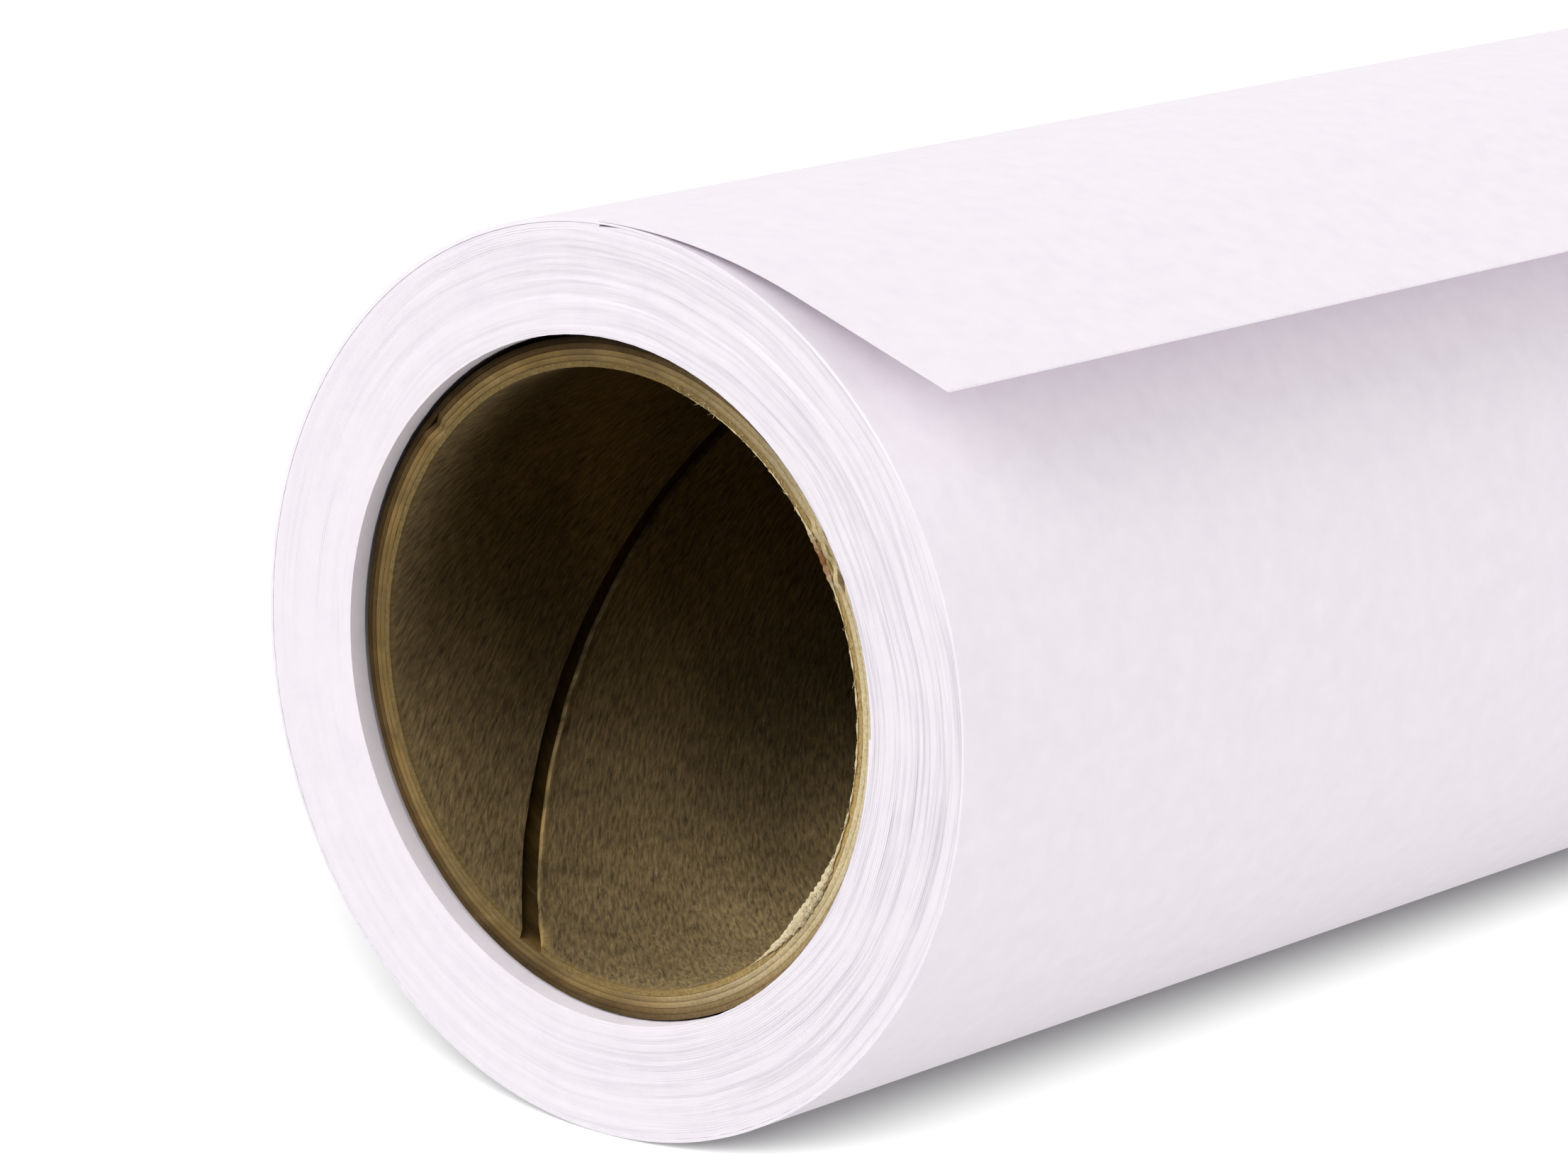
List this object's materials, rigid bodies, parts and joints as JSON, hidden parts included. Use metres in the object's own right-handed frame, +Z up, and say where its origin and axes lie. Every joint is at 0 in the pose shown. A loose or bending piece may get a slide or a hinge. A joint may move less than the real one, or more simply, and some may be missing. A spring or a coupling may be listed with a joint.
{
  "type": "backdrop paper roll",
  "caption": "Wide roll of white studio backdrop paper wound on a spiral-wound cardboard core, with the free end of the sheet lifting off the top.",
  "frame": {"origin": "on the surface that the roll lies on, under the middle of the roll", "axes": "+X along the roll, away from the end that is seen; +Z up; the sheet's free end hangs off the top towards -Y"},
  "size_m": [1.35, 0.0852, 0.0854],
  "materials": {
    "backdrop_paper": "matt uncoated, faint lavender cast",
    "core_board": "raw brown core board, cut edge",
    "core_lining_board": "dark grey-brown recycled board",
    "masking_tape": "creped, satin"
  },
  "bodies": {
    "roll": {"core_liner_ply": "core_lining_board", "core_body_ply_1": "core_board", "core_body_ply_2": "core_board", "core_body_ply_3": "core_board", "core_outer_ply": "core_board", "start_tape": "masking_tape", "wound_paper": "backdrop_paper"},
    "departing_sheet": {"sheet_root": "backdrop_paper"},
    "bending_sheet_1": {"free_sheet_1": "backdrop_paper"},
    "bending_sheet_2": {"free_sheet_2": "backdrop_paper"},
    "bending_sheet_3": {"free_sheet_3": "backdrop_paper"},
    "sheet_edge": {"leading_edge": "backdrop_paper"}
  },
  "joints": [
    {"name": "draw_off", "type": "hinge", "parent": "roll", "child": "departing_sheet", "pos_m": [0, 0, 0.0424], "axis": [-1, 0, 0], "range_deg": [0, 270]},
    {"name": "bend_1", "type": "hinge", "parent": "departing_sheet", "child": "bending_sheet_1", "pos_m": [0, -0.00798, 0.08478], "axis": [-1, 0, 0], "range_deg": [-6.5, 25], "stiffness_Nm_per_rad": 0.2},
    {"name": "bend_2", "type": "hinge", "parent": "bending_sheet_1", "child": "bending_sheet_2", "pos_m": [0, -0.01875, 0.08262], "axis": [-1, 0, 0], "range_deg": [-6.5, 25], "stiffness_Nm_per_rad": 0.2},
    {"name": "bend_3", "type": "hinge", "parent": "bending_sheet_2", "child": "bending_sheet_3", "pos_m": [0, -0.02914, 0.07901], "axis": [-1, 0, 0], "range_deg": [-6.5, 25], "stiffness_Nm_per_rad": 0.2},
    {"name": "pay_out", "type": "slide", "parent": "bending_sheet_3", "child": "sheet_edge", "axis": [0, -0.9397, -0.342], "range_m": [0, 0.2]}
  ],
  "couplings": [
    {"joint": "pay_out", "follows": "draw_off", "m_per_rad": 0.0424}
  ]
}
